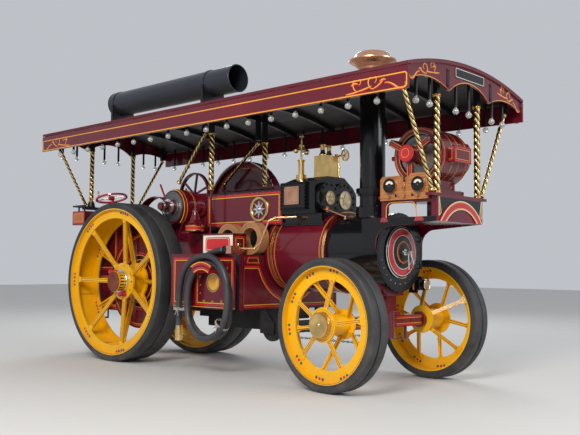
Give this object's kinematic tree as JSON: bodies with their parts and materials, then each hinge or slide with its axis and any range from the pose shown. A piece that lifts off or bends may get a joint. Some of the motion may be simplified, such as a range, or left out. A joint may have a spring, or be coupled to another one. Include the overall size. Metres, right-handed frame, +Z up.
{
  "type": "steam traction engine",
  "caption": "Showman's steam road locomotive with a full-length canopy, a front dynamo, a steered front axle and solid rubber tyres.",
  "frame": {"origin": "on the ground under the middle of the canopy, on the centre line", "axes": "+X towards the smokebox (forwards), +Y to the engine's left, +Z up"},
  "size_m": [6.436, 2.31, 3.812],
  "materials": {
    "maroon_paint": "gloss",
    "black_gloss": "gloss",
    "black_paint": "satin",
    "roof_paint": "satin",
    "red_paint": "gloss",
    "wheel_paint": "gloss",
    "tyre_rubber": "matte",
    "hose_rubber": "satin",
    "brass": "polished",
    "copper": "polished",
    "polished_steel": "polished",
    "bare_steel": "satin",
    "tube_paint": "satin",
    "belt_leather": "satin",
    "bulb_glass": "clear",
    "varnished_wood": "varnished",
    "gold_line": "gloss",
    "red_line": "gloss",
    "spoke_line": "gloss",
    "green_paint": "gloss",
    "pink_paint": "gloss",
    "ivory_paint": "gloss"
  },
  "bodies": {
    "engine": {"boiler_barrel": "maroon_paint", "barrel_bands": "brass", "firebox_shell": "black_paint", "smokebox": "black_gloss", "chimney": "black_gloss", "chimney_cap": "copper", "cylinder_block": "black_gloss", "cylinder_covers": "polished_steel", "cylinder_fittings": "brass", "motion_covers": "maroon_paint", "hornplates": "maroon_paint", "gear_guards": "maroon_paint", "oil_can": "maroon_paint", "side_tanks": "maroon_paint", "toolbox": "maroon_paint", "belt_coils": "belt_leather", "tender": "maroon_paint", "tender_fittings": "black_paint", "rear_axle": "bare_steel", "steering_gear": "black_paint", "controls": "red_paint", "perch_bracket": "maroon_paint", "copper_pipes": "copper", "headlamp": "black_gloss", "canopy_roof": "roof_paint", "canopy_boards": "maroon_paint", "canopy_beams": "black_paint", "pillars": "brass", "stays": "brass", "lamp_holders": "black_paint", "lamp_bulbs": "bulb_glass", "roof_tube": "tube_paint", "tube_cradles": "black_paint", "dynamo_bracket": "maroon_paint", "dynamo_frame": "maroon_paint", "switchboard": "varnished_wood", "front_sign_arch": "red_paint", "hose_coil": "hose_rubber", "hose_lead": "hose_rubber", "hose_tail": "hose_rubber", "hose_strainer": "brass", "hose_bracket": "red_paint"},
    "rear_wheel_right": {"wheel_rear_right": "wheel_paint", "tyre_rear_right": "tyre_rubber"},
    "rear_wheel_left": {"wheel_rear_left": "wheel_paint", "tyre_rear_left": "tyre_rubber"},
    "front_wheel_right": {"wheel_front_right": "wheel_paint", "tyre_front_right": "tyre_rubber"},
    "front_wheel_left": {"wheel_front_left": "wheel_paint", "tyre_front_left": "tyre_rubber"},
    "steered_axle": {"front_axle": "maroon_paint"},
    "crankshaft": {"flywheel": "maroon_paint"},
    "dynamo_armature": {"dynamo_rotor": "bare_steel"},
    "box_lid": {"toolbox_lid": "maroon_paint"},
    "steering_chain_right": {"chain_right": "bare_steel"},
    "steering_chain_left": {"chain_left": "bare_steel"},
    "smokebox_door": {"smokebox_door": "black_gloss", "door_handles": "polished_steel"}
  },
  "joints": [
    {"name": "rear_wheel_right_spin", "type": "hinge", "parent": "engine", "child": "rear_wheel_right", "pos_m": [-1.715, -0.7375, 1.067], "axis": [0, 1, 0], "continuous": true},
    {"name": "rear_wheel_left_spin", "type": "hinge", "parent": "engine", "child": "rear_wheel_left", "pos_m": [-1.715, 0.7375, 1.067], "axis": [0, 1, 0], "continuous": true},
    {"name": "steering", "type": "hinge", "parent": "engine", "child": "steered_axle", "pos_m": [2.125, 0, 0.69], "axis": [0, 0, 1], "range_deg": [-21, 29]},
    {"name": "front_wheel_right_spin", "type": "hinge", "parent": "steered_axle", "child": "front_wheel_right", "pos_m": [2.06438, -0.86688, 0.69], "axis": [0.0698, 0.9976, 0], "continuous": true},
    {"name": "front_wheel_left_spin", "type": "hinge", "parent": "steered_axle", "child": "front_wheel_left", "pos_m": [2.18562, 0.86688, 0.69], "axis": [0.0698, 0.9976, 0], "continuous": true},
    {"name": "flywheel_spin", "type": "hinge", "parent": "engine", "child": "crankshaft", "pos_m": [-0.587, 0, 2.04], "axis": [0, 1, 0], "continuous": true},
    {"name": "dynamo_spin", "type": "hinge", "parent": "engine", "child": "dynamo_armature", "pos_m": [2.735, 0, 2.45], "axis": [0, 1, 0], "continuous": true},
    {"name": "smokebox_door_hinge", "type": "hinge", "parent": "engine", "child": "smokebox_door", "pos_m": [2.351, 0.368, 1.45], "axis": [0, 0, 1], "range_deg": [0, 90]},
    {"name": "toolbox_lid_hinge", "type": "hinge", "parent": "engine", "child": "box_lid", "pos_m": [0.31, -0.633, 1.663], "axis": [-1, 0, 0], "range_deg": [0, 100]},
    {"name": "chain_right_slide", "type": "slide", "parent": "engine", "child": "steering_chain_right", "axis": [1, 0, 0], "range_m": [-0.14, 0.19]},
    {"name": "chain_left_slide", "type": "slide", "parent": "engine", "child": "steering_chain_left", "axis": [1, 0, 0], "range_m": [-0.19, 0.14]}
  ],
  "couplings": [
    {"joint": "chain_right_slide", "follows": "steering", "m_per_rad": 0.358},
    {"joint": "chain_left_slide", "follows": "steering", "m_per_rad": -0.358}
  ]
}
